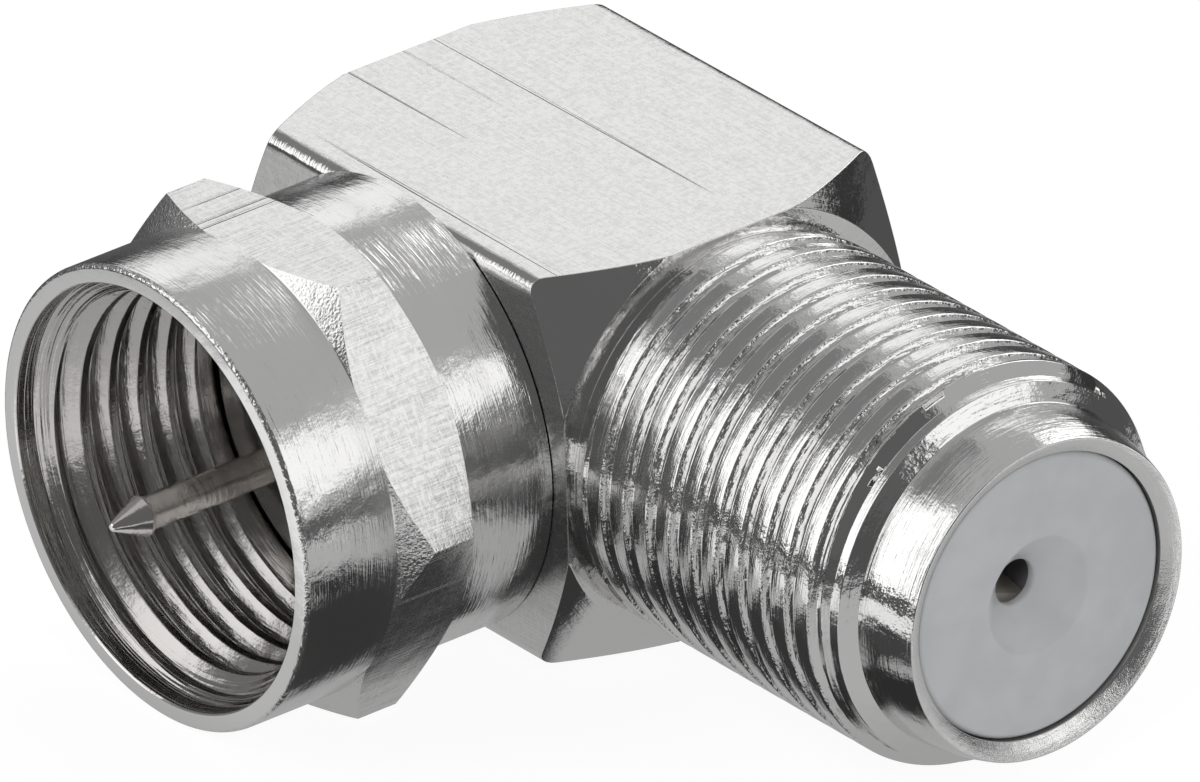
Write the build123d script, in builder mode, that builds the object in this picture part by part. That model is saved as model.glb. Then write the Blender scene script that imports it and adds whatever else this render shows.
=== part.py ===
"""Right-angle coaxial adapter: a plug with a hexagon coupling nut to a threaded jack.

Millimetres. The jack points along +X and the plug along -Y. Their axes cross at the
origin, which is the middle of the square bar. Lengths along the plug are counted
outwards from the origin, so a length of 5 lies at Y = -5.
"""

import os
from math import radians, tan

from build123d import *

# Square bar with both ends turned to a cone
bar_width = 9.5
bar_length = 11.4
bar_edge_radius = 0.35
end_face_radius = 5.05
turned_angle = 36.0

# Threaded barrel of the jack, from the bar outwards
neck_radius = 4.5
neck_length = 0.5
thread_radius = 4.70
thread_length = 7.8
thread_start_bevel = 0.15
lead_length = 0.6
lead_end_radius = 4.37
step_length = 0.25
nose_radius = 4.0
nose_length = 1.53
nose_end_radius = 3.76
nose_bulge = 0.06
socket_radius = 3.36
socket_mouth_radius = 3.72
socket_mouth_depth = 0.24
socket_depth = 7.4

# Bores of the bar
core_bore_radius = 2.3
cap_seat_radius = 3.0
cap_seat_depth = 1.3
cap_recess = 0.1
cap_edge_bevel = 0.15
post_seat_depth = 1.65

# Coupling nut
nut_gap = 0.06
nut_rear_radius = 5.25
nut_rear_length = 2.24
nut_rear_bevel = 0.05
hex_across_flats = 10.57
hex_length = 2.15
hex_turn = 0.8
nut_collar_radius = 5.37
nut_collar_length = 2.46
nut_rim_round = 0.12
nut_thread_radius = 4.40
nut_mouth_radius = 4.92
nut_mouth_depth = 0.5
nut_mouth_bevel = 0.5
nut_wall = 1.14

# Post that carries the nut
post_radius = 3.25
post_bore_radius = 2.4
flange_radius = 4.25
flange_thickness = 0.62
flange_bevel = 0.1
nut_spin_clearance = 0.05
nut_end_clearance = 0.08

# Plug insulator and centre pin
insulator_recess = 0.2
pin_radius = 0.40
pin_off_x = 0.12
pin_off_z = -0.20
pin_reach = 1.29
pin_head_radius = 0.475
pin_head_length = 0.93
pin_head_land = 0.06
pin_back_taper = 0.06
pin_tip_radius = 0.1
pin_tail = 0.25

# Contact inside the jack
rod_radius = 0.9
rod_tail = 1.2
bead_start = 3.9
bead_length = 3.4
clip_gap = 0.4
clip_barrel_length = 2.6
clip_barrel_wall = 0.24
clip_thickness = 0.22
clip_width = 1.7
clip_pinch = 0.2
clip_lip = 0.42
clip_lip_length = 1.3
clip_turn = 20.0
clip_front_gap = 0.2

# Jack insulator
jack_face_recess = 0.28
dimple_radius = 1.38
dimple_depth = 0.83
entry_radius = 0.53
entry_length = 0.22
clip_room_radius = 1.55
insulator_edge_bevel = 0.1

# Fits
press_clearance = 0.01
solder_clearance = 0.02

# Places along the jack axis, from the origin
bar_end = bar_length / 2
neck_end = bar_end + neck_length
thread_end = neck_end + thread_length
lead_end = thread_end + lead_length
step_end = lead_end + step_length
nose_end = step_end + nose_length
socket_floor = nose_end - socket_depth

# Places along the plug axis, from the origin outwards
bar_face = bar_width / 2
post_seat = bar_face - post_seat_depth
nut_rear = bar_face + nut_gap
hex_rear = nut_rear + nut_rear_length
hex_front = hex_rear + hex_length
nut_front = hex_front + nut_collar_length
nut_floor = nut_rear + nut_wall
flange_back = nut_floor + nut_end_clearance
flange_face = flange_back + flange_thickness
pin_tip = nut_front + pin_reach

cone_slope = tan(radians(turned_angle))


def jack_profile(outline):
    """Face to turn about the X axis, from a closed outline of (x, radius) points."""
    with BuildSketch(Plane.XZ) as profile:
        with BuildLine():
            Polyline(*outline, close=True)
        make_face()
    return profile.sketch


def plug_profile(outline):
    """Face to turn about the Y axis, from (length outwards, radius) points."""
    with BuildSketch(Plane.XY) as profile:
        with BuildLine():
            Polyline(*[(radius, -out) for out, radius in outline], close=True)
        make_face()
    return profile.sketch


# The elbow is one piece of square bar. Both ends are turned, which leaves an arc
# on each flat, and the jack barrel is turned from the same bar.
turning_radius = bar_width
cone_length = (turning_radius - end_face_radius) * cone_slope
with BuildPart() as elbow_block:
    with BuildSketch(Plane.YZ.offset(-bar_end)):
        RectangleRounded(bar_width, bar_width, bar_edge_radius)
    extrude(amount=bar_length)
    revolve(
        jack_profile(
            [
                (-bar_end, 0),
                (-bar_end, end_face_radius),
                (-bar_end + cone_length, turning_radius),
                (bar_end - cone_length, turning_radius),
                (bar_end, end_face_radius),
                (bar_end, 0),
            ]
        ),
        axis=Axis.X,
        mode=Mode.INTERSECT,
    )
    with BuildSketch(Plane.XZ):
        with BuildLine():
            Polyline(
                (nose_end, nose_end_radius),
                (nose_end, 0),
                (bar_end, 0),
                (bar_end, neck_radius),
                (neck_end - thread_start_bevel, neck_radius),
                (neck_end, thread_radius),
                (thread_end, thread_radius),
                (lead_end, lead_end_radius),
                (step_end, nose_radius),
            )
            ThreePointArc(
                (step_end, nose_radius),
                ((step_end + nose_end) / 2, (nose_radius + nose_end_radius) / 2 + nose_bulge),
                (nose_end, nose_end_radius),
            )
        make_face()
    revolve(axis=Axis.X)
    revolve(
        jack_profile(
            [
                (nose_end, 0),
                (nose_end, socket_mouth_radius),
                (nose_end - socket_mouth_depth, socket_radius),
                (socket_floor, socket_radius),
                (socket_floor, core_bore_radius),
                (-bar_end + cap_seat_depth, core_bore_radius),
                (-bar_end + cap_seat_depth, cap_seat_radius),
                (-bar_end, cap_seat_radius),
                (-bar_end, 0),
            ]
        ),
        axis=Axis.X,
        mode=Mode.SUBTRACT,
    )
    revolve(
        plug_profile(
            [
                (0, 0),
                (0, core_bore_radius),
                (post_seat, core_bore_radius),
                (post_seat, post_radius),
                (bar_face, post_radius),
                (bar_face, 0),
            ]
        ),
        axis=Axis.Y,
        mode=Mode.SUBTRACT,
    )

# A pressed cap closes the hole at the back, through which the joint of pin and
# rod is soldered.
with BuildPart() as rear_cap:
    revolve(
        jack_profile(
            [
                (-bar_end + cap_recess, 0),
                (-bar_end + cap_recess, cap_seat_radius - press_clearance - cap_edge_bevel),
                (-bar_end + cap_recess + cap_edge_bevel, cap_seat_radius - press_clearance),
                (-bar_end + cap_seat_depth, cap_seat_radius - press_clearance),
                (-bar_end + cap_seat_depth, 0),
            ]
        ),
        axis=Axis.X,
    )

# The nut is turned from hexagon bar: a smooth rear, a short hexagon with both
# ends coned, and a round collar up to the rim.
hex_flat = hex_across_flats / 2
apex_radius = (hex_length / cone_slope + hex_flat + nut_collar_radius) / 2
apex_out = hex_rear + (apex_radius - hex_flat) * cone_slope
with BuildPart() as coupling_nut:
    with BuildSketch(Plane.XZ.offset(hex_rear)):
        RegularPolygon(hex_flat, 6, major_radius=False, rotation=hex_turn)
    extrude(amount=hex_length)
    revolve(
        plug_profile(
            [
                (hex_rear, 0),
                (hex_rear, hex_flat),
                (apex_out, apex_radius),
                (hex_front, nut_collar_radius),
                (hex_front, 0),
            ]
        ),
        axis=Axis.Y,
        mode=Mode.INTERSECT,
    )
    revolve(
        plug_profile(
            [
                (nut_rear, 0),
                (nut_rear, nut_rear_radius - nut_rear_bevel),
                (nut_rear + nut_rear_bevel, nut_rear_radius),
                (hex_rear, nut_rear_radius),
                (hex_rear, 0),
            ]
        ),
        axis=Axis.Y,
    )
    revolve(
        plug_profile(
            [
                (hex_front, 0),
                (hex_front, nut_collar_radius),
                (nut_front, nut_collar_radius),
                (nut_front, 0),
            ]
        ),
        axis=Axis.Y,
    )
    rim_edge = edges().filter_by(GeomType.CIRCLE).group_by(Axis.Y)[0]
    fillet(rim_edge, nut_rim_round)
    revolve(
        plug_profile(
            [
                (nut_rear, 0),
                (nut_rear, post_radius + nut_spin_clearance),
                (nut_floor, post_radius + nut_spin_clearance),
                (nut_floor, nut_thread_radius),
                (nut_front - nut_mouth_depth - nut_mouth_bevel, nut_thread_radius),
                (nut_front - nut_mouth_depth, nut_mouth_radius),
                (nut_front, nut_mouth_radius),
                (nut_front, 0),
            ]
        ),
        axis=Axis.Y,
        mode=Mode.SUBTRACT,
    )

# The post passes through the nut's rear wall and is pressed into the bar. Its
# flange holds the nut and meets the end of the mating jack.
with BuildPart() as post:
    shank = post_radius - press_clearance
    revolve(
        plug_profile(
            [
                (post_seat, post_bore_radius),
                (post_seat, shank),
                (flange_back, shank),
                (flange_back, flange_radius),
                (flange_face - flange_bevel, flange_radius),
                (flange_face, flange_radius - flange_bevel),
                (flange_face, post_bore_radius),
            ]
        ),
        axis=Axis.Y,
    )

# White plastic bush that centres the pin in the post.
with BuildPart() as plug_insulator:
    revolve(
        plug_profile(
            [
                (post_seat, 0),
                (post_seat, post_bore_radius - press_clearance),
                (flange_face - insulator_recess, post_bore_radius - press_clearance),
                (flange_face - insulator_recess, 0),
            ]
        ),
        axis=Axis.Y,
    )
    with BuildSketch(Plane.XZ):
        with Locations((pin_off_x, pin_off_z)):
            Circle(pin_radius + solder_clearance)
    extrude(amount=flange_face, mode=Mode.SUBTRACT)

# Centre pin of the plug: a straight wire with a slightly wider pointed head.
head_start = pin_tip - pin_head_length
pin_inner_end = -rod_radius - pin_tail
pin_axis = Axis((pin_off_x, 0, pin_off_z), (0, -1, 0))
with BuildPart() as centre_pin:
    with BuildSketch(Plane.XY.offset(pin_off_z)):
        with BuildLine():
            Polyline(
                (pin_off_x, -pin_inner_end),
                (pin_off_x + pin_radius, -pin_inner_end),
                (pin_off_x + pin_radius, -head_start),
                (pin_off_x + pin_head_radius, -head_start - pin_back_taper),
                (pin_off_x + pin_head_radius, -head_start - pin_back_taper - pin_head_land),
                (pin_off_x + pin_tip_radius, -pin_tip),
                (pin_off_x, -pin_tip),
                close=True,
            )
        make_face()
    revolve(axis=pin_axis)
    tip_edge = edges().filter_by(GeomType.CIRCLE).group_by(Axis.Y)[0]
    fillet(tip_edge, pin_tip_radius * 0.6)

# Brass rod along the jack axis. The pin is soldered in its cross hole.
bead_end = bead_start + bead_length
clip_start = bead_end + clip_gap
clip_barrel_end = clip_start + clip_barrel_length
with BuildPart() as contact_rod:
    revolve(
        jack_profile(
            [
                (-rod_tail, 0),
                (-rod_tail, rod_radius),
                (clip_barrel_end - clip_thickness, rod_radius),
                (clip_barrel_end - clip_thickness, 0),
            ]
        ),
        axis=Axis.X,
    )
    with BuildSketch(Plane.XZ):
        with Locations((pin_off_x, pin_off_z)):
            Circle(pin_radius + solder_clearance)
    extrude(amount=rod_radius, both=True, mode=Mode.SUBTRACT)

# Plastic bead that centres the rod in the bar.
with BuildPart() as rod_bead:
    revolve(
        jack_profile(
            [
                (bead_start, rod_radius + press_clearance),
                (bead_start, core_bore_radius - press_clearance),
                (bead_end, core_bore_radius - press_clearance),
                (bead_end, rod_radius + press_clearance),
            ]
        ),
        axis=Axis.X,
    )

# Spring clip of bronze strip. Its barrel is clamped on the rod, and its two leaves
# close to a pinch and open again to a lip behind the entry hole.
face_x = nose_end - jack_face_recess
entry_start = face_x - dimple_depth
room_front = entry_start - entry_length
clip_front = room_front - clip_front_gap
pinch_x = clip_front - clip_lip_length
barrel_inner = rod_radius + press_clearance
barrel_outer = barrel_inner + clip_barrel_wall
clip_plane = Plane(
    origin=(0, 0, 0),
    x_dir=(1, 0, 0),
    z_dir=(0, -1, tan(radians(clip_turn))),
)
with BuildPart() as contact_clip:
    revolve(
        jack_profile(
            [
                (clip_start, barrel_inner),
                (clip_start, barrel_outer),
                (clip_barrel_end, barrel_outer),
                (clip_barrel_end, barrel_inner),
            ]
        ),
        axis=Axis.X,
    )
    with BuildSketch(clip_plane):
        with BuildLine():
            Polyline(
                (clip_barrel_end - clip_thickness, barrel_outer - clip_thickness),
                (clip_barrel_end, barrel_outer - clip_thickness),
                (pinch_x, clip_pinch),
                (clip_front, clip_lip),
                (clip_front, clip_lip + clip_thickness),
                (pinch_x, clip_pinch + clip_thickness),
                (clip_barrel_end, barrel_outer),
                (clip_barrel_end - clip_thickness, barrel_outer),
                close=True,
            )
        make_face()
        mirror(about=Plane.XZ)
    extrude(amount=clip_width / 2, both=True)

# White plastic bush in the mouth of the jack, with a coned dimple that leads the
# centre wire into the entry hole.
with BuildPart() as jack_insulator:
    outer = socket_radius - press_clearance
    revolve(
        jack_profile(
            [
                (socket_floor, clip_room_radius),
                (socket_floor, outer),
                (face_x - insulator_edge_bevel, outer),
                (face_x, outer - insulator_edge_bevel),
                (face_x, dimple_radius),
                (entry_start, entry_radius),
                (room_front, entry_radius),
                (room_front, clip_room_radius),
            ]
        ),
        axis=Axis.X,
    )

pieces = {
    "elbow_block": elbow_block,
    "rear_cap": rear_cap,
    "coupling_nut": coupling_nut,
    "post": post,
    "plug_insulator": plug_insulator,
    "centre_pin": centre_pin,
    "contact_rod": contact_rod,
    "rod_bead": rod_bead,
    "contact_clip": contact_clip,
    "jack_insulator": jack_insulator,
}

os.makedirs("parts", exist_ok=True)
for name, piece in pieces.items():
    piece.part.label = name
    export_step(piece.part, f"parts/{name}.step")
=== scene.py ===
from math import atan2, ceil, cos, hypot, pi, radians, sin, sqrt, tan

import bmesh
import bpy
from mathutils import Matrix, Vector


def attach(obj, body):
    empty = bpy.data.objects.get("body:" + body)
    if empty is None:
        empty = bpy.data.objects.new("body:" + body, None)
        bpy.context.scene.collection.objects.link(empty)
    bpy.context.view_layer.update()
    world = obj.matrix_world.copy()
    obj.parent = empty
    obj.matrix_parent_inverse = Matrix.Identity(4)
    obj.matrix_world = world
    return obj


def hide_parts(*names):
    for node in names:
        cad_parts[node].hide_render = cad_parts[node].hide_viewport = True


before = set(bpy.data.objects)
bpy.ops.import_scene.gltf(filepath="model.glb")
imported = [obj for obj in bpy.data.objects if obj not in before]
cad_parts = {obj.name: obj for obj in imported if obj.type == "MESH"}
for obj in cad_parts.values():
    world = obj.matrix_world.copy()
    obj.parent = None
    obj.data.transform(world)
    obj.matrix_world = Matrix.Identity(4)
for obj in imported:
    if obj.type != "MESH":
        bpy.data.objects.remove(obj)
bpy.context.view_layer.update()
mm = 0.001

# The camera stands far off, above the corner between the two arms, where the photograph
# was taken from. Any farther off, the views from other sides would no longer reach the part.
camera_azimuth = radians(52.301)
camera_elevation = radians(28.139)
camera_roll = radians(-1.728)
camera_distance = 780.0 * mm
camera_aside = 0.558 * mm
camera_lift = -1.290 * mm
pixels_per_mm = 45.71
image_width = 1200
camera_reach = 20.0

turn_in = Matrix.Rotation(camera_azimuth, 4, "Z")
look_down = Matrix.Rotation(pi / 2 - camera_elevation, 4, "X")
roll = Matrix.Rotation(camera_roll, 4, "Z")
stand_off = Matrix.Translation((camera_aside, camera_lift, camera_distance))
camera_data = bpy.data.cameras.new("camera")
camera_data.lens = camera_data.sensor_width * pixels_per_mm * camera_distance / mm / image_width
camera_data.clip_end = camera_reach
camera = bpy.data.objects.new("camera", camera_data)
camera.matrix_world = turn_in @ look_down @ roll @ stand_off
bpy.context.collection.objects.link(camera)
bpy.context.scene.camera = camera
bpy.context.scene.view_settings.view_transform = "Standard"

# A pale floor just under the nut. To the camera it glows evenly white, with a faint real
# shadow. To the metal it glows with painted light and painted shadow instead: a dim base,
# painted pools of light and the painted shadow of the barrel. Each patch is a name, a middle
# and half a size in x and y, a blur, all in millimetres, and a brightness.
floor_drop = 5.42 * mm
floor_size = 6.0
paper_white = 0.9
glow_strength = 1.14
glow_share = 0.8
floor_painted_light_base = 0.09
floor_painted_light_patches = [
    ("painted_light_pool", 8, -2, 20, 20, 8, 0.42),
    ("painted_light_left", 0, -24, 24, 10, 4, 0.55),
    ("painted_light_front", 6, -30, 16, 8, 6, 0.95),
    ("painted_light_right", 27, 8, 8, 16, 4, 0.50),
    ("painted_light_right_end", 32, 13, 6, 8, 3, 0.95),
    ("painted_shadow_of_barrel", 11.8, -6.2, 3.8, 1.6, 1.0, 0.03),
    ("painted_shade_between", 7.6, -8.9, 3.4, 4.1, 0.6, 0.04),
    ("painted_shade_in_front", 10, -16, 4, 4, 3, 0.06),
]
floor_mesh = bmesh.new()
bmesh.ops.create_grid(floor_mesh, x_segments=1, y_segments=1, size=floor_size / 2)
bmesh.ops.translate(floor_mesh, verts=floor_mesh.verts, vec=(0, 0, -floor_drop))
floor_data = bpy.data.meshes.new("floor")
floor_mesh.to_mesh(floor_data)
floor = bpy.data.objects.new("floor", floor_data)
bpy.context.collection.objects.link(floor)


def add_node(tree, kind, settings=None, **inputs):
    """A new node with its settings. Inputs take a value or another node's socket."""
    node = tree.nodes.new(kind)
    for name, value in (settings or {}).items():
        setattr(node, name, value)
    for name, value in inputs.items():
        socket = node.inputs[int(name[1:])] if name[1:].isdigit() else node.inputs[name]
        if isinstance(value, bpy.types.NodeSocket):
            tree.links.new(value, socket)
        else:
            socket.default_value = value
    return node


def reckon(tree, operation, first, second=0.0):
    settings = {"operation": operation}
    return add_node(tree, "ShaderNodeMath", settings, _0=first, _1=second).outputs[0]


def fade(tree, value, low, high, low_result=0.0, high_result=1.0):
    """Goes smoothly from one result to another as a value goes from low to high."""
    settings = {"interpolation_type": "SMOOTHSTEP"}
    steps = {"_0": value, "_1": low, "_2": high, "_3": low_result, "_4": high_result}
    return add_node(tree, "ShaderNodeMapRange", settings, **steps).outputs[0]


floor_finish = bpy.data.materials.new("pale_floor")
floor_finish.use_nodes = True
floor_tree = floor_finish.node_tree
floor_tree.nodes.clear()
seen = add_node(floor_tree, "ShaderNodeLightPath").outputs["Is Camera Ray"]
place = add_node(floor_tree, "ShaderNodeTexCoord").outputs["Object"]
# The glow that the metal sees: painted light and painted shadow, one patch after another.
level = floor_painted_light_base
for name, middle_x, middle_y, half_x, half_y, blur, brightness in floor_painted_light_patches:
    middle = (-middle_x * mm, -middle_y * mm, 0)
    there = add_node(floor_tree, "ShaderNodeMapping", Vector=place, Location=middle).outputs[0]
    split = add_node(floor_tree, "ShaderNodeSeparateXYZ", Vector=there)
    aside = reckon(floor_tree, "ABSOLUTE", split.outputs["X"])
    along = reckon(floor_tree, "ABSOLUTE", split.outputs["Y"])
    across = fade(floor_tree, aside, half_x * mm, (half_x + blur) * mm, 1.0, 0.0)
    length = fade(floor_tree, along, half_y * mm, (half_y + blur) * mm, 1.0, 0.0)
    share = reckon(floor_tree, "MULTIPLY", across, length)
    level = add_node(floor_tree, "ShaderNodeMix", _0=share, _2=level, _3=brightness).outputs[0]
painted_floor_glow = add_node(floor_tree, "ShaderNodeEmission", Color=(1, 1, 1, 1), Strength=level)
paper_colour = (paper_white, paper_white, paper_white, 1)
paper = add_node(floor_tree, "ShaderNodeBsdfDiffuse", Color=paper_colour)
glow = add_node(floor_tree, "ShaderNodeEmission", Color=(1, 1, 1, 1), Strength=glow_strength)
parts = {"_0": glow_share, "_1": paper.outputs[0], "_2": glow.outputs[0]}
lit = add_node(floor_tree, "ShaderNodeMixShader", **parts)
parts = {"_0": seen, "_1": painted_floor_glow.outputs[0], "_2": lit.outputs[0]}
both = add_node(floor_tree, "ShaderNodeMixShader", **parts)
add_node(floor_tree, "ShaderNodeOutputMaterial", Surface=both.outputs[0])
floor_data.materials.append(floor_finish)

# The studio is a grey tent with a few bright panels and dark gaps between them,
# which the polished metal shows as bands. Each card is a name, an azimuth from +X and
# an elevation, half a width and half a height in degrees, and a brightness.
tent_level = 0.45
gap_level = 0.04
cards = [
    ("horizon_gap", 127, -3, 62, 11, gap_level),
    ("camera_gap", -33, 34, 42, 36, 0.12),
    ("left_gap", -167, 28, 28, 32, 0.22),
    ("back_panel_left", 144, 29, 7, 11, 1.05),
    ("back_panel_right", 106, 32, 12, 14, 2.0),
    ("right_panel", 28, 20, 15, 10, 1.15),
    ("camera_side_gap", -77, 14, 16, 12, 0.12),
    ("left_panel", -122, 13, 19, 28, 1.35),
    ("left_panel_top", -112, 38, 12, 16, 1.3),
]
card_blur = 5
world = bpy.data.worlds.new("studio")
bpy.context.scene.world = world
world.use_nodes = True
tent = world.node_tree
tent.nodes.clear()
direction = add_node(tent, "ShaderNodeTexCoord").outputs["Generated"]
height = add_node(tent, "ShaderNodeSeparateXYZ", Vector=direction).outputs["Z"]
elevation = reckon(tent, "ARCSINE", height)
level = tent_level
for name, azimuth_at, elevation_at, half_width, half_height, brightness in cards:
    turn = (0, 0, -radians(azimuth_at))
    facing = add_node(tent, "ShaderNodeMapping", Vector=direction, Rotation=turn).outputs[0]
    split = add_node(tent, "ShaderNodeSeparateXYZ", Vector=facing)
    bearing = reckon(tent, "ARCTAN2", split.outputs["Y"], split.outputs["X"])
    aside = reckon(tent, "ABSOLUTE", bearing)
    above = reckon(tent, "ABSOLUTE", reckon(tent, "SUBTRACT", elevation, radians(elevation_at)))
    across = fade(tent, aside, radians(half_width), radians(half_width + card_blur), 1.0, 0.0)
    upright = fade(tent, above, radians(half_height), radians(half_height + card_blur), 1.0, 0.0)
    share = reckon(tent, "MULTIPLY", across, upright)
    level = add_node(tent, "ShaderNodeMix", _0=share, _2=level, _3=brightness).outputs[0]
sky = add_node(tent, "ShaderNodeBackground", Color=(1, 1, 1, 1), Strength=level)
add_node(tent, "ShaderNodeOutputWorld", Surface=sky.outputs[0])

# Two lamps light the plastic: a soft one above the camera and a small one near the mouth
# of the jack. The metal doesn't mirror them. Each is a name, a place, a size and its watts.
lamps = [
    ("front_lamp", turn_in @ look_down @ Vector((-0.03, 0.12, 0.45)), 0.25, 0.12),
    ("mouth_lamp", Vector((0.034, -0.022, 0.018)), 0.006, 0.0018),
]
lit_place = Vector((0.0157, 0, -0.0009))
for name, lamp_place, size, watts in lamps:
    lamp_data = bpy.data.lights.new(name, "AREA")
    lamp_data.shape = "DISK"
    lamp_data.size = size
    lamp_data.energy = watts
    lamp = bpy.data.objects.new(name, lamp_data)
    turn = (lamp_place - lit_place).to_track_quat("Z", "Y").to_matrix().to_4x4()
    lamp.matrix_world = Matrix.Translation(lamp_place) @ turn
    lamp.visible_glossy = False
    bpy.context.collection.objects.link(lamp)

# The elbow is one piece of square brass bar, plated with bright nickel. Both ends of
# the bar are turned to a cone, which leaves arcs on its flats, and the threaded barrel
# of the jack is turned from the same piece.
bar_end = 5.70 * mm
bar_flat = 4.75 * mm
bar_edge_round = 0.35 * mm
bar_face_radius = 5.05 * mm
bar_turning_radius = 9.5 * mm
cone_slope = tan(radians(36))
neck_radius = 4.50 * mm
crest_radius = 4.70 * mm
groove_depth = 0.22 * mm
thread_pitch = 0.794 * mm
crest_width = 0.46 * mm
flank_width = 0.09 * mm
thread_phase = 0.21
crest_ease = 0.035 * mm
thread_start = 5.95 * mm
thread_fade_in = 0.15 * mm
thread_end = 14.15 * mm
lead_end = 14.42 * mm
lead_end_radius = 4.43 * mm
land_end = 14.66 * mm
land_end_radius = 4.42 * mm
step_end = 14.85 * mm
nose_radius = 4.00 * mm
nose_end = 16.38 * mm
nose_end_radius = 3.76 * mm
nose_bulge = 0.06 * mm
socket_mouth_radius = 3.72 * mm
socket_mouth_depth = 0.24 * mm
socket_radius = 3.36 * mm
socket_floor = 8.98 * mm
cap_seat_radius = 3.00 * mm
cap_seat_end = -4.40 * mm
block_edge_width = 0.02 * mm
round_steps = 192
bar_steps = 256
same_place = 1e-8


def spin_outline(mesh, outline, eased=(), ease=0.0, steps=round_steps, pitch=0.0):
    """Spins an outline of (length, radius) points once about X, the eased ones rounded.

    With a pitch it winds the outline along X as a right-hand helix.
    """
    chain = [mesh.verts.new((length, radius, 0)) for length, radius in outline]
    for pair in zip(chain, chain[1:]):
        mesh.edges.new(pair)
    if pitch == 0 and outline[0][1] > 0:
        mesh.edges.new((chain[-1], chain[0]))
    if eased:
        bmesh.ops.bevel(
            mesh,
            geom=[chain[index] for index in eased],
            offset=ease,
            segments=3,
            profile=0.5,
            affect="VERTICES",
            material=-1,
        )
    bmesh.ops.spin(
        mesh,
        geom=mesh.verts[:] + mesh.edges[:],
        axis=(1, 0, 0),
        angle=2 * pi,
        steps=steps,
        dvec=(pitch / steps, 0, 0),
        use_merge=pitch == 0,
    )
    bmesh.ops.remove_doubles(mesh, verts=mesh.verts, dist=same_place)


def wind_thread(mesh, start, end, phase, crest, depth, crest_part, flank, steps):
    """A band of thread between two lengths. A negative depth gives an inner thread.

    The phase is the share of a turn by which it is wound back.
    """
    turns_before = 1.5
    slope_end = crest_part / 2 + flank
    first = start - (turns_before + phase) * thread_pitch
    outline = [
        (first, crest),
        (first + crest_part / 2, crest),
        (first + slope_end, crest - depth),
        (first + thread_pitch - slope_end, crest - depth),
        (first + thread_pitch - crest_part / 2, crest),
        (first + thread_pitch, crest),
    ]
    spin_outline(mesh, outline, (1, 2, 3, 4), crest_ease, steps, thread_pitch)
    one_turn = mesh.verts[:] + mesh.edges[:] + mesh.faces[:]
    for turn in range(1, ceil((end - start) / thread_pitch) + 2):
        copied = bmesh.ops.duplicate(mesh, geom=one_turn)["geom"]
        moved = [item for item in copied if isinstance(item, bmesh.types.BMVert)]
        bmesh.ops.translate(mesh, verts=moved, vec=(turn * thread_pitch, 0, 0))
    bmesh.ops.remove_doubles(mesh, verts=mesh.verts, dist=same_place)
    for length, outward in ((start, -1), (end, 1)):
        bmesh.ops.bisect_plane(
            mesh,
            geom=mesh.verts[:] + mesh.edges[:] + mesh.faces[:],
            plane_co=(length, 0, 0),
            plane_no=(outward, 0, 0),
            clear_outer=True,
        )


def smooth_share(value, low, high):
    share = min(max((value - low) / (high - low), 0), 1)
    return share * share * (3 - 2 * share)


def set_radius(vert, radius):
    """Moves a point of a turned piece straight in or out from the X axis."""
    scale = radius / hypot(vert.co.y, vert.co.z)
    vert.co.y *= scale
    vert.co.z *= scale


def open_ring(mesh, length):
    """The open edges of a mesh at a length along X."""
    slack = 0.001 * mm
    return [
        edge
        for edge in mesh.edges
        if edge.is_boundary and all(abs(vert.co.x - length) < slack for vert in edge.verts)
    ]


def carry_on(mesh, ring, outline):
    """Extrudes an open ring through (length, radius) points. Gives the last ring."""
    for length, radius in outline:
        made = bmesh.ops.extrude_edge_only(mesh, edges=ring)["geom"]
        ring = [item for item in made if isinstance(item, bmesh.types.BMEdge)]
        ring = [edge for edge in ring if edge.is_boundary]
        for vert in {vert for edge in ring for vert in edge.verts}:
            vert.co.x = length
            set_radius(vert, radius)
    return ring


def close_ring(mesh, ring):
    bmesh.ops.contextual_create(mesh, geom=ring)


def reach_of_bar(angle, sides, flat, edge_round):
    """Radius of a bar with rounded corners, at an angle from its nearest corner."""
    half = pi / sides
    centre = (flat - edge_round) / cos(half)
    if abs(angle) < half - atan2((flat - edge_round) * tan(half), flat):
        return centre * cos(angle) + sqrt(edge_round**2 - (centre * sin(angle)) ** 2)
    return flat / cos(half - abs(angle))


def mill_flats(verts, sides, flat, edge_round, first_corner, spread, low_cone, high_cone):
    """Moves the rings of a turned bar in to its flats, and its cones with them.

    A cone is the length and radius at its small end. A spread below 1 crowds the points
    to the corners.
    """
    half = pi / sides
    low_length, low_radius = low_cone
    high_length, high_radius = high_cone
    for vert in verts:
        angle = atan2(vert.co.z, vert.co.y) - first_corner
        corner = round(angle / (2 * half)) * 2 * half
        share = (angle - corner) / half
        from_corner = half * (spread * share + (1 - spread) * share * abs(share))
        reach = reach_of_bar(from_corner, sides, flat, edge_round)
        radius = hypot(vert.co.y, vert.co.z)
        if radius > reach:
            if vert.co.x > (low_length + high_length) / 2:
                vert.co.x = high_length - max(0, reach - high_radius) * cone_slope
            else:
                vert.co.x = low_length + max(0, reach - low_radius) * cone_slope
            radius = reach
        bearing = first_corner + corner + from_corner
        vert.co.y = radius * cos(bearing)
        vert.co.z = radius * sin(bearing)


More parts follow.
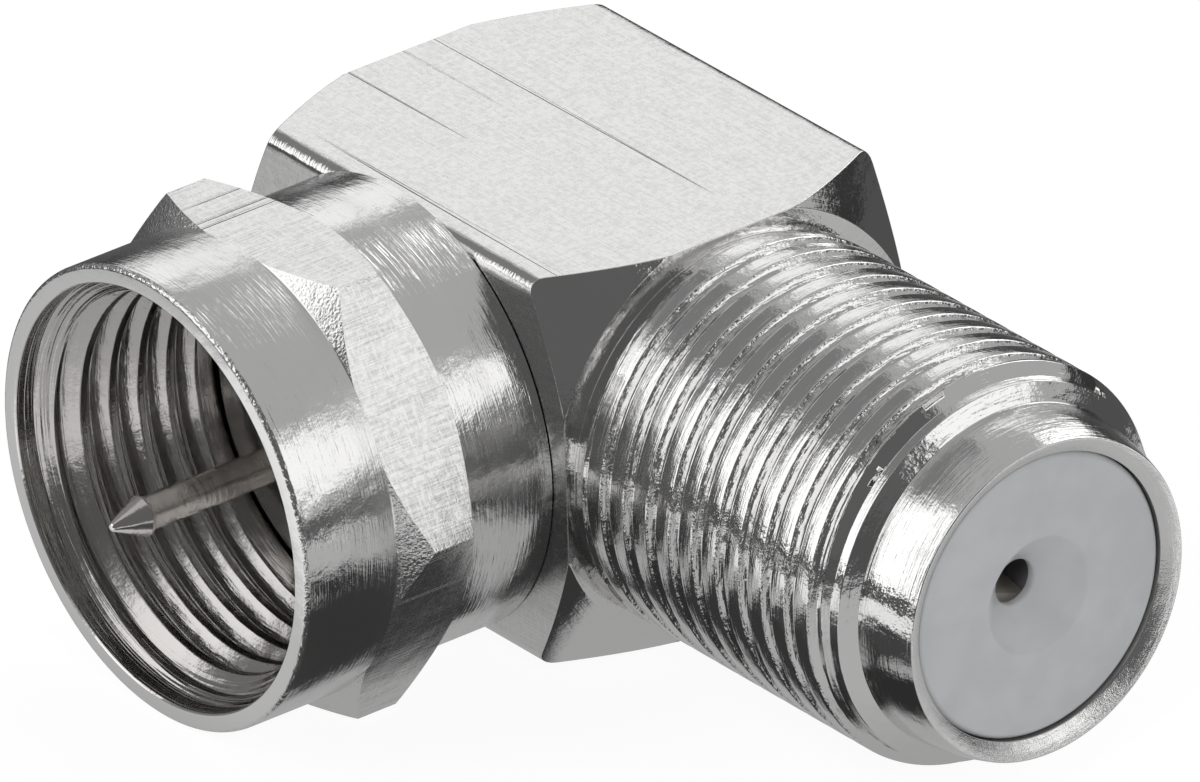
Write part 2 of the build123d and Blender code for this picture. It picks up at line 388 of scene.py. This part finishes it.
def finished(mesh, name, body, nodes, finish, edge_width=0.0):
    """Makes a piece of a mesh, with its edges broken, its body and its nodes."""
    merge_distance = 0.0015 * mm
    edge_angle = radians(36)
    bmesh.ops.remove_doubles(mesh, verts=mesh.verts, dist=merge_distance)
    bmesh.ops.recalc_face_normals(mesh, faces=mesh.faces)
    data = bpy.data.meshes.new(name)
    mesh.to_mesh(data)
    data.shade_smooth()
    data.materials.append(finish)
    piece = bpy.data.objects.new(name, data)
    bpy.context.collection.objects.link(piece)
    if edge_width:
        broken = piece.modifiers.new("broken_edges", "BEVEL")
        broken.width = edge_width
        broken.segments = 2
        broken.limit_method = "ANGLE"
        broken.angle_limit = edge_angle
        broken.use_clamp_overlap = False
        broken.harden_normals = True
        broken.miter_outer = "MITER_ARC"
    else:
        data.set_sharp_from_angle(angle=edge_angle)
    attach(piece, body)
    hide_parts(*nodes)
    return piece


def grain(tree, place, spacing, stretch=(1, 1, 1), detail=2.0):
    """Noise with a spacing in metres. A stretch below 1 draws it out along an axis."""
    drawn = add_node(tree, "ShaderNodeMapping", Vector=place, Scale=stretch).outputs[0]
    inputs = {"Vector": drawn, "Scale": 1 / spacing, "Detail": detail}
    return add_node(tree, "ShaderNodeTexNoise", **inputs).outputs[0]


def tilted(tree, height, spacing, slope, normal=None, share=1.0):
    """Bump of a grain that tilts the surface by about a slope, as far as a mask lets it."""
    height_per_slope = 1.7
    distance = height_per_slope * spacing * slope
    inputs = {"Height": height, "Distance": distance, "Strength": share}
    if normal is not None:
        inputs["Normal"] = normal
    return add_node(tree, "ShaderNodeBump", **inputs).outputs[0]


def roughened(tree, place, spacing, slope, normal=None, share=1.0, stretch=(1, 1, 1)):
    """Bump of an even or a drawn-out grain."""
    return tilted(tree, grain(tree, place, spacing, stretch), spacing, slope, normal, share)


def new_finish(name):
    finish = bpy.data.materials.new(name)
    finish.use_nodes = True
    finish.node_tree.nodes.clear()
    return finish, finish.node_tree


def nickel_over(tree, colour, roughness, normal, metallic=1.0):
    """The metal itself. A colour is three numbers or another node's socket."""
    metal = add_node(tree, "ShaderNodeBsdfPrincipled", Roughness=roughness, Normal=normal)
    if isinstance(colour, bpy.types.NodeSocket):
        tree.links.new(colour, metal.inputs["Base Color"])
    else:
        metal.inputs["Base Color"].default_value = (*colour, 1)
    metal.inputs["Metallic"].default_value = metallic
    add_node(tree, "ShaderNodeOutputMaterial", Surface=metal.outputs[0])


def measures_round(tree, place, axis):
    """Length along a turning axis, distance from it and bearing round it."""
    turn = (0, 0, 0) if axis == "X" else (0, 0, pi / 2)
    there = add_node(tree, "ShaderNodeMapping", Vector=place, Rotation=turn).outputs[0]
    split = add_node(tree, "ShaderNodeSeparateXYZ", Vector=there)
    length, across, upright = (split.outputs[axis] for axis in "XYZ")
    radial = add_node(tree, "ShaderNodeCombineXYZ", X=0.0, Y=across, Z=upright).outputs[0]
    measure = {"operation": "LENGTH"}
    radius = add_node(tree, "ShaderNodeVectorMath", measure, _0=radial).outputs["Value"]
    return length, radius, reckon(tree, "ARCTAN2", upright, across)


def band_share(tree, value, low, high, blur):
    """1 where a value lies between two others, and 0 outside."""
    from_middle = reckon(tree, "ABSOLUTE", reckon(tree, "SUBTRACT", value, (low + high) / 2))
    half = (high - low) / 2
    return fade(tree, from_middle, half, half + blur, 1.0, 0.0)


def flat_share(tree, measures, sides, flat, first_corner, low, high):
    """1 on the flats of a bar between two lengths, and 0 on its turned parts."""
    below = flat - 0.012 * mm
    just_below = flat - 0.004 * mm
    end_blur = 0.01 * mm
    length, radius, bearing = measures
    side_angle = 2 * pi / sides
    from_corner = reckon(tree, "SUBTRACT", bearing, first_corner)
    corners = reckon(tree, "DIVIDE", from_corner, side_angle)
    from_flat = reckon(tree, "SUBTRACT", reckon(tree, "FRACT", corners), 0.5)
    tilt = reckon(tree, "COSINE", reckon(tree, "MULTIPLY", from_flat, side_angle))
    depth = reckon(tree, "MULTIPLY", radius, tilt)
    on_flat = fade(tree, depth, below, just_below)
    return reckon(tree, "MULTIPLY", on_flat, band_share(tree, length, low, high, end_blur))


def stretch_round(axis, amount):
    """Draws a grain out round an axis. An amount of 1 leaves it even."""
    return (1, amount, amount) if axis == "X" else (amount, 1, amount)


def stretch_along(axis, amount):
    return (amount, 1, 1) if axis == "X" else (1, amount, 1)


def drawn_dull(tree, place, drawn, low_roughness, high_roughness):
    """Roughness that goes up and down round a turned piece."""
    streaks = grain(tree, place, dull_spacing, drawn)
    return fade(tree, streaks, noise_low, noise_high, low_roughness, high_roughness)


wave_spacing = 1.3 * mm
wave_slope = 0.02
pit_spacing = 0.06 * mm
dull_spacing = 0.9 * mm
round_draw = 0.05
noise_low = 0.35
noise_high = 0.65


def nickel_on_bar(
    name, axis, line_slope, pit_slope, low_roughness, high_roughness, bar, linen, inside, cuts
):
    """Turned nickel with the drawn bar's own skin on its flats, darker where linen is high.

    Inside a radius the colour turns darker and browner, painted shade of the bore. A cut is a
    rougher place: its lengths, its distances from the axis, the spacing, the drawing out and the
    slope of its grain.
    """
    dent_spacing = 0.25 * mm
    dent_slope = 0.02
    tool_spacing = 0.07 * mm
    brush_spacing = 0.03 * mm
    cut_end_blur = 0.02 * mm
    cut_side_blur = 0.01 * mm
    scratch_spacing = 0.05 * mm
    scratch_slope = 0.05
    scratch_draw = 0.04
    crossing_slope = 0.03
    crossing_draw = 0.06
    hairline_spacing = 0.3 * mm
    hairline_draw = 0.006
    hairline_slope = -0.15
    skin_dull_spacing = 0.12 * mm

    finish, tree = new_finish(name)
    drawn = stretch_round(axis, round_draw)
    place = add_node(tree, "ShaderNodeTexCoord").outputs["Object"]
    measures = measures_round(tree, place, axis)
    skin = flat_share(tree, measures, *bar)
    turned = reckon(tree, "SUBTRACT", 1.0, skin)
    relief = roughened(tree, place, wave_spacing, wave_slope)
    relief = roughened(tree, place, dent_spacing, dent_slope, relief, turned)
    relief = roughened(tree, place, tool_spacing, line_slope, relief, turned, drawn)
    relief = roughened(tree, place, brush_spacing, line_slope, relief, turned, drawn)
    for from_length, to_length, from_radius, to_radius, spacing, draw, slope in cuts:
        at_length = band_share(tree, measures[0], from_length, to_length, cut_end_blur)
        at_radius = band_share(tree, measures[1], from_radius, to_radius, cut_side_blur)
        there = reckon(tree, "MULTIPLY", reckon(tree, "MULTIPLY", at_length, at_radius), turned)
        torn = stretch_round(axis, draw)
        relief = roughened(tree, place, spacing, slope, relief, there, torn)

    scratches = grain(tree, place, scratch_spacing, stretch_along(axis, scratch_draw))
    crossing = grain(tree, place, scratch_spacing, stretch_round(axis, crossing_draw))
    relief = tilted(tree, scratches, scratch_spacing, scratch_slope, relief, skin)
    relief = tilted(tree, crossing, scratch_spacing, crossing_slope, relief, skin)
    hairlines = grain(tree, place, hairline_spacing, stretch_along(axis, hairline_draw), 1.0)
    hairlines = fade(tree, hairlines, 0.70, 0.73)
    relief = tilted(tree, hairlines, scratch_spacing, hairline_slope, relief, skin)
    relief = roughened(tree, place, pit_spacing, pit_slope, relief)

    lengthways = fade(tree, scratches, 0.4, 0.7)
    crossways = fade(tree, crossing, 0.3, 0.6)
    woven = reckon(tree, "MULTIPLY", lengthways, crossways)
    woven = reckon(tree, "MULTIPLY", reckon(tree, "MULTIPLY", woven, skin), linen)
    # Inside the given radius the colour is the darker one: painted shade of the bore.
    in_painted_shade = fade(tree, measures[1], inside, inside + cut_side_blur, 1.0, 0.0)
    plating = {"_0": in_painted_shade, "_6": (*nickel_colour, 1), "_7": (*painted_shade_colour, 1)}
    plain = add_node(tree, "ShaderNodeMix", {"data_type": "RGBA"}, **plating).outputs["Result"]
    shade = reckon(tree, "SUBTRACT", 1.0, woven)
    darkened = {"_0": plain, "Scale": shade}
    tone = add_node(tree, "ShaderNodeVectorMath", {"operation": "SCALE"}, **darkened).outputs[0]

    turned_dull = drawn_dull(tree, place, drawn, low_roughness, high_roughness)
    skin_dull = grain(tree, place, skin_dull_spacing)
    skin_dull = fade(tree, skin_dull, noise_low, noise_high, 0.20, 0.28)
    dull = add_node(tree, "ShaderNodeMix", _0=skin, _2=turned_dull, _3=skin_dull).outputs[0]
    nickel_over(tree, tone, dull, relief)
    return finish


def turned_nickel(name, colour, axis, line_slope, pit_slope, low_roughness, high_roughness):
    """Nickel over turned brass: tool lines round the axis, soft waves and fine pits."""
    tool_spacing = 0.12 * mm
    brush_spacing = 0.035 * mm
    finish, tree = new_finish(name)
    drawn = stretch_round(axis, round_draw)
    place = add_node(tree, "ShaderNodeTexCoord").outputs["Object"]
    relief = roughened(tree, place, wave_spacing, wave_slope)
    relief = roughened(tree, place, tool_spacing, line_slope, relief, 1.0, drawn)
    relief = roughened(tree, place, brush_spacing, line_slope, relief, 1.0, drawn)
    relief = roughened(tree, place, pit_spacing, pit_slope, relief)
    dull = drawn_dull(tree, place, drawn, low_roughness, high_roughness)
    nickel_over(tree, colour, dull, relief)
    return finish


nickel_colour = (0.80, 0.795, 0.79)
# A darker, browner nickel for the inside of bores: painted shade.
painted_shade_colour = (0.56, 0.545, 0.53)
bar_skin = (4, bar_flat, pi / 4, -bar_end, bar_end)
ring_edge = 0.02 * mm
ring_start = nose_end - socket_mouth_depth + ring_edge
ring_radius = nose_end_radius - ring_edge
block_cuts = [
    (thread_start, thread_end, 4.65 * mm, 4.685 * mm, 0.05 * mm, 0.35, 0.5),
    (thread_start, thread_end, 4.46 * mm, 4.64 * mm, 0.05 * mm, 0.06, 0.2),
    (ring_start, nose_end, socket_radius, ring_radius, 0.03 * mm, 1.0, 0.10),
]
block_nickel = nickel_on_bar(
    "block_nickel",
    "X",
    line_slope=0.08,
    pit_slope=0.03,
    low_roughness=0.05,
    high_roughness=0.12,
    bar=bar_skin,
    linen=0.12,
    # Inside the socket the nickel is darkened: painted shade.
    inside=socket_radius,
    cuts=block_cuts,
)
block = bmesh.new()
wind_thread(
    block,
    thread_start,
    lead_end,
    thread_phase,
    crest_radius,
    groove_depth,
    crest_width,
    flank_width,
    bar_steps,
)
for length in (thread_end, (thread_end + lead_end) / 2):
    bmesh.ops.bisect_plane(
        block,
        geom=block.verts[:] + block.edges[:] + block.faces[:],
        plane_co=(length, 0, 0),
        plane_no=(1, 0, 0),
    )
for vert in block.verts:
    wound_in = smooth_share(vert.co.x, thread_start, thread_start + thread_fade_in)
    radius = neck_radius + (hypot(vert.co.y, vert.co.z) - neck_radius) * wound_in
    lead_part = max(0, (vert.co.x - thread_end) / (lead_end - thread_end))
    lead_radius = crest_radius + (lead_end_radius - crest_radius) * lead_part
    set_radius(vert, min(radius, lead_radius))
nose_line = []
nose_points = 8
for step in range(nose_points + 1):
    share = step / nose_points
    straight = nose_radius + (nose_end_radius - nose_radius) * share
    bulge = nose_bulge * sin(pi * share)
    nose_line.append((step_end + (nose_end - step_end) * share, straight + bulge))
front_ring = carry_on(
    block,
    open_ring(block, lead_end),
    [
        (land_end, land_end_radius),
        *nose_line,
        (nose_end, socket_mouth_radius),
        (nose_end - socket_mouth_depth, socket_radius),
        (socket_floor, socket_radius),
    ],
)
close_ring(block, front_ring)
barrel_verts = set(block.verts)
cone_length = (bar_turning_radius - bar_face_radius) * cone_slope
back_ring = carry_on(
    block,
    open_ring(block, thread_start),
    [
        (bar_end, neck_radius),
        (bar_end, bar_face_radius),
        (bar_end - cone_length, bar_turning_radius),
        (cone_length - bar_end, bar_turning_radius),
        (-bar_end, bar_face_radius),
        (-bar_end, cap_seat_radius),
        (cap_seat_end, cap_seat_radius),
    ],
)
close_ring(block, back_ring)
bar_least = neck_radius + 0.1 * mm
bar_verts = [vert for vert in block.verts if vert not in barrel_verts]
bar_verts = [vert for vert in bar_verts if hypot(vert.co.y, vert.co.z) > bar_least]
mill_flats(
    bar_verts,
    sides=4,
    flat=bar_flat,
    edge_round=bar_edge_round,
    first_corner=pi / 4,
    spread=0.5,
    low_cone=(-bar_end, bar_face_radius),
    high_cone=(bar_end, bar_face_radius),
)
finished(
    block, "elbow", "elbow", ["elbow_block"], block_nickel, block_edge_width
)

# The cap is a thin disc punched from plated brass and pressed into the back of the bar
# over the hole through which the pin was soldered.
cap_face = -5.60 * mm
cap_radius = 2.99 * mm
cap_bevel = 0.15 * mm
cap_edge_round = 0.05 * mm
cap_nickel = turned_nickel(
    "cap_nickel",
    nickel_colour,
    "X",
    line_slope=0.03,
    pit_slope=0.04,
    low_roughness=0.10,
    high_roughness=0.20,
)
cap = bmesh.new()
spin_outline(
    cap,
    [
        (cap_face, 0),
        (cap_face, cap_radius - cap_bevel),
        (cap_face + cap_bevel, cap_radius),
        (cap_seat_end, cap_radius),
        (cap_seat_end, 0),
    ],
    (1, 2),
    cap_edge_round,
)
finished(cap, "cap", "elbow", ["rear_cap"], cap_nickel)

# The coupling nut is turned from hexagon bar and plated. A smooth rear, a short
# hexagon with coned ends and a round collar follow one another, and it is threaded
# inside. It spins on the post, whose flange keeps it on.
nut_rear = 4.77 * mm
nut_rear_radius = 5.25 * mm
nut_rear_bevel = 0.02 * mm
hex_rear = 7.05 * mm
hex_front = 9.20 * mm
hex_flat = 5.285 * mm
hex_edge_round = 0.08 * mm
hex_turn = radians(0.8)
hex_turning_radius = 6.6 * mm
collar_radius = 5.37 * mm
nut_front = 11.66 * mm
rim_round = 0.12 * mm
mouth_radius = 4.92 * mm
mouth_depth = 0.5 * mm
mouth_bevel = 0.5 * mm
mouth_edge = 0.04 * mm
nut_crest_radius = 4.40 * mm
nut_crest_width = 0.20 * mm
nut_flank_width = 0.25 * mm
nut_groove_depth = 0.40 * mm
relief_radius = 4.40 * mm
relief_end = 7.0 * mm
nut_floor = 5.95 * mm
nut_bore = 3.30 * mm
plug_way = Matrix.Rotation(-pi / 2, 3, "Z")
hex_skin = (6, hex_flat, hex_turn, hex_rear, hex_front)
hex_cone_start = collar_radius + 0.03 * mm
torn_start = 10.6 * mm
torn_end = nut_front - 0.06 * mm
rim_start = nut_front - 0.2 * mm
nut_cuts = [
    (hex_rear, hex_front, hex_cone_start, hex_turning_radius, 0.07 * mm, 1.0, 0.16),
    (torn_start, torn_end, 4.41 * mm, 4.93 * mm, 0.11 * mm, 0.02, 0.45),
    (rim_start, nut_front, 5.28 * mm, 5.36 * mm, 0.06 * mm, 0.5, 0.35),
]
nut_nickel = nickel_on_bar(
    "nut_nickel",
    "Y",
    line_slope=0.07,
    pit_slope=0.03,
    low_roughness=0.12,
    high_roughness=0.22,
    bar=hex_skin,
    linen=0.25,
    # Inside the mouth the nickel is darkened: painted shade of the nut's bore.
    inside=mouth_radius + 0.01 * mm,
    cuts=nut_cuts,
)
nut = bmesh.new()
mouth_back = nut_front - mouth_depth
wind_thread(
    nut,
    relief_end,
    mouth_back,
    0,
    nut_crest_radius,
    -nut_groove_depth,
    nut_crest_width,
    nut_flank_width,
    round_steps,
)
for vert in nut.verts:
    radius = hypot(vert.co.y, vert.co.z)
    wound_in = smooth_share(vert.co.x, relief_end, relief_end + thread_fade_in)
    radius = relief_radius + (radius - relief_radius) * wound_in
    lead_part = (vert.co.x - mouth_back + mouth_bevel) / mouth_bevel
    lead_cone = nut_crest_radius + (mouth_radius - nut_crest_radius) * lead_part
    set_radius(vert, max(radius, lead_cone))
rim_points = 5
rim_line = []
for step in range(rim_points + 1):
    turn = pi / 2 * step / rim_points
    rim_length = nut_front - rim_round * (1 - cos(turn))
    rim_radius = collar_radius - rim_round * (1 - sin(turn))
    rim_line.append((rim_length, rim_radius))
inner_thread_verts = set(nut.verts)
hex_cone = (hex_turning_radius - collar_radius) * cone_slope
hex_cone_back = (hex_turning_radius - hex_flat) * cone_slope
seam = 0.001 * mm
front_ring = carry_on(
    nut,
    open_ring(nut, mouth_back),
    [
        (nut_front - mouth_edge, mouth_radius),
        (nut_front, mouth_radius + mouth_edge),
        *rim_line,
        (hex_front, collar_radius),
        (hex_front - seam, collar_radius),
        (hex_front - hex_cone, hex_turning_radius),
        (hex_rear + hex_cone_back, hex_turning_radius),
        (hex_rear + seam, hex_flat),
        (hex_rear, nut_rear_radius),
        (nut_rear + nut_rear_bevel, nut_rear_radius),
        (nut_rear, nut_rear_radius - nut_rear_bevel),
    ],
)
back_ring = carry_on(
    nut,
    open_ring(nut, relief_end),
    [(nut_floor, relief_radius), (nut_floor, nut_bore), (nut_rear, nut_bore)],
)
bmesh.ops.bridge_loops(nut, edges=front_ring + back_ring)
hex_verts = [vert for vert in nut.verts if vert not in inner_thread_verts]
hex_verts = [vert for vert in hex_verts if hex_rear < vert.co.x < hex_front]
hex_verts = [vert for vert in hex_verts if hypot(vert.co.y, vert.co.z) > nut_rear_radius]
mill_flats(
    hex_verts,
    sides=6,
    flat=hex_flat,
    edge_round=hex_edge_round,
    first_corner=0,
    spread=1,
    low_cone=(hex_rear, hex_flat),
    high_cone=(hex_front, collar_radius),
)
bmesh.ops.rotate(nut, verts=nut.verts, matrix=plug_way @ Matrix.Rotation(hex_turn, 3, "X"))
finished(nut, "nut", "nut", ["coupling_nut"], nut_nickel)

# The post is a turned and plated tube. It passes through the back of the nut into the
# bar, and its flange lies at the bottom of the nut.
post_seat = 3.10 * mm
post_radius = 3.24 * mm
post_bore = 2.40 * mm
flange_back = 6.03 * mm
flange_face = 6.65 * mm
flange_radius = 4.25 * mm
flange_bevel = 0.1 * mm
flange_edge_round = 0.03 * mm
# The post takes the darker bore colour: painted shade of the inside of the nut.
post_nickel = turned_nickel(
    "post_nickel",
    painted_shade_colour,
    "Y",
    line_slope=0.05,
    pit_slope=0.03,
    low_roughness=0.14,
    high_roughness=0.24,
)
post = bmesh.new()
spin_outline(
    post,
    [
        (post_seat, post_bore),
        (post_seat, post_radius),
        (flange_back, post_radius),
        (flange_back, flange_radius),
        (flange_face - flange_bevel, flange_radius),
        (flange_face, flange_radius - flange_bevel),
        (flange_face, post_bore),
    ],
    (3, 4, 5, 6),
    flange_edge_round,
)
bmesh.ops.rotate(post, verts=post.verts, matrix=plug_way)
finished(post, "post", "elbow", ["post"], post_nickel)

# The centre pin is a straight plated wire with a slightly wider pointed head, which
# carries the signal. It stands a little off the middle, as in the photograph.
pin_aside = 0.12 * mm
pin_lift = -0.20 * mm
pin_radius = 0.40 * mm
pin_inner_end = -1.15 * mm
pin_head_start = 12.02 * mm
pin_head_rise = 0.06 * mm
pin_head_radius = 0.475 * mm
pin_head_land = 12.14 * mm
pin_tip = 12.95 * mm
pin_tip_radius = 0.10 * mm
pin_tip_length = 0.03 * mm
pin_tip_flat = 0.06 * mm
pin_edge_round = 0.02 * mm
pin_steps = 96
pin_colour = (0.85, 0.82, 0.79)
pin_nickel = turned_nickel(
    "pin_nickel",
    pin_colour,
    "Y",
    line_slope=0.03,
    pit_slope=0.03,
    low_roughness=0.10,
    high_roughness=0.18,
)
pin = bmesh.new()
spin_outline(
    pin,
    [
        (pin_inner_end, 0),
        (pin_inner_end, pin_radius),
        (pin_head_start, pin_radius),
        (pin_head_start + pin_head_rise, pin_head_radius),
        (pin_head_land, pin_head_radius),
        (pin_tip - pin_tip_length, pin_tip_radius),
        (pin_tip, pin_tip_flat),
        (pin_tip, 0),
    ],
    (2, 3, 4, 5, 6),
    pin_edge_round,
    pin_steps,
)
bmesh.ops.rotate(pin, verts=pin.verts, matrix=plug_way)
bmesh.ops.translate(pin, verts=pin.verts, vec=(pin_aside, 0, pin_lift))
finished(pin, "pin", "elbow", ["centre_pin"], pin_nickel)

# The jack insulator is a white moulded bush pressed into the mouth of the barrel. Its
# coned dimple leads the centre wire of a plug into the entry hole.
bush_radius = 3.35 * mm
bush_face = 16.10 * mm
bush_bevel = 0.1 * mm
bush_edge_round = 0.05 * mm
bush_colour = (0.80, 0.815, 0.83)
dimple_radius = 1.38 * mm
entry_start = 15.27 * mm
entry_radius = 0.53 * mm
room_front = 15.05 * mm
room_radius = 1.55 * mm


def moulded_plastic(name, colour, shine, skin_slope):
    """Moulded plastic: a fine matt skin, soft unevenness and a little light inside."""
    skin_spacing = 0.08 * mm
    sink_spacing = 1.8 * mm
    cloud_spacing = 1.1 * mm
    deep_share = 0.94
    light_share = 0.3
    light_depth = 0.6 * mm
    finish, tree = new_finish(name)
    place = add_node(tree, "ShaderNodeTexCoord").outputs["Object"]
    skin = roughened(tree, place, skin_spacing, skin_slope)
    sunk = roughened(tree, place, sink_spacing, skin_slope, skin)
    cloud = fade(tree, grain(tree, place, cloud_spacing), noise_low, noise_high)
    pale = (*colour, 1)
    deep = (*(deep_share * part for part in colour), 1)
    tone = add_node(tree, "ShaderNodeMix", {"data_type": "RGBA"}, _0=cloud, _6=pale, _7=deep)
    inputs = {"Base Color": tone.outputs["Result"], "Normal": sunk}
    plastic = add_node(tree, "ShaderNodeBsdfPrincipled", **inputs)
    plastic.inputs["Roughness"].default_value = shine
    plastic.inputs["Subsurface Weight"].default_value = light_share
    plastic.inputs["Subsurface Radius"].default_value = (light_depth, light_depth, light_depth)
    add_node(tree, "ShaderNodeOutputMaterial", Surface=plastic.outputs[0])
    return finish


bush_plastic = moulded_plastic("bush_plastic", bush_colour, shine=0.30, skin_slope=0.02)
bush = bmesh.new()
spin_outline(
    bush,
    [
        (socket_floor, room_radius),
        (socket_floor, bush_radius),
        (bush_face - bush_bevel, bush_radius),
        (bush_face, bush_radius - bush_bevel),
        (bush_face, dimple_radius),
        (entry_start, entry_radius),
        (room_front, entry_radius),
        (room_front, room_radius),
    ],
    (2, 3, 4, 5, 6),
    bush_edge_round,
)
finished(bush, "bush", "elbow", ["jack_insulator"], bush_plastic)

# The plug insulator and the bead are white moulded discs that centre the pin in the
# post and the rod in the bar.
disc_colour = (0.80, 0.81, 0.80)
plug_plastic = moulded_plastic("plug_plastic", disc_colour, shine=0.40, skin_slope=0.03)
bead_plastic = moulded_plastic("bead_plastic", disc_colour, shine=0.40, skin_slope=0.03)
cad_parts["plug_insulator"].material_slots[0].material = plug_plastic
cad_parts["rod_bead"].material_slots[0].material = bead_plastic

# The rod is turned from plain brass and stands in the bead. The pin is soldered in the
# cross hole at its inner end, and the clip sits on its outer end.
brass_colour = (0.72, 0.58, 0.34)
rod_brass = turned_nickel(
    "rod_brass",
    brass_colour,
    "X",
    line_slope=0.04,
    pit_slope=0.03,
    low_roughness=0.2,
    high_roughness=0.3,
)
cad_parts["contact_rod"].material_slots[0].material = rod_brass

# The clip is bent from tinned bronze strip. Its two leaves close on the centre wire
# behind the entry hole.
tin_colour = (0.78, 0.74, 0.67)
tin_slope = 0.04
tin_spacing = 0.5 * mm
tin_metallic = 0.3
clip_bronze, clip_tree = new_finish("clip_bronze")
clip_place = add_node(clip_tree, "ShaderNodeTexCoord").outputs["Object"]
clip_relief = roughened(clip_tree, clip_place, pit_spacing, tin_slope)
clip_dull = grain(clip_tree, clip_place, tin_spacing)
clip_dull = fade(clip_tree, clip_dull, noise_low, noise_high, 0.45, 0.55)
nickel_over(clip_tree, tin_colour, clip_dull, clip_relief, tin_metallic)
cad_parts["contact_clip"].material_slots[0].material = clip_bronze
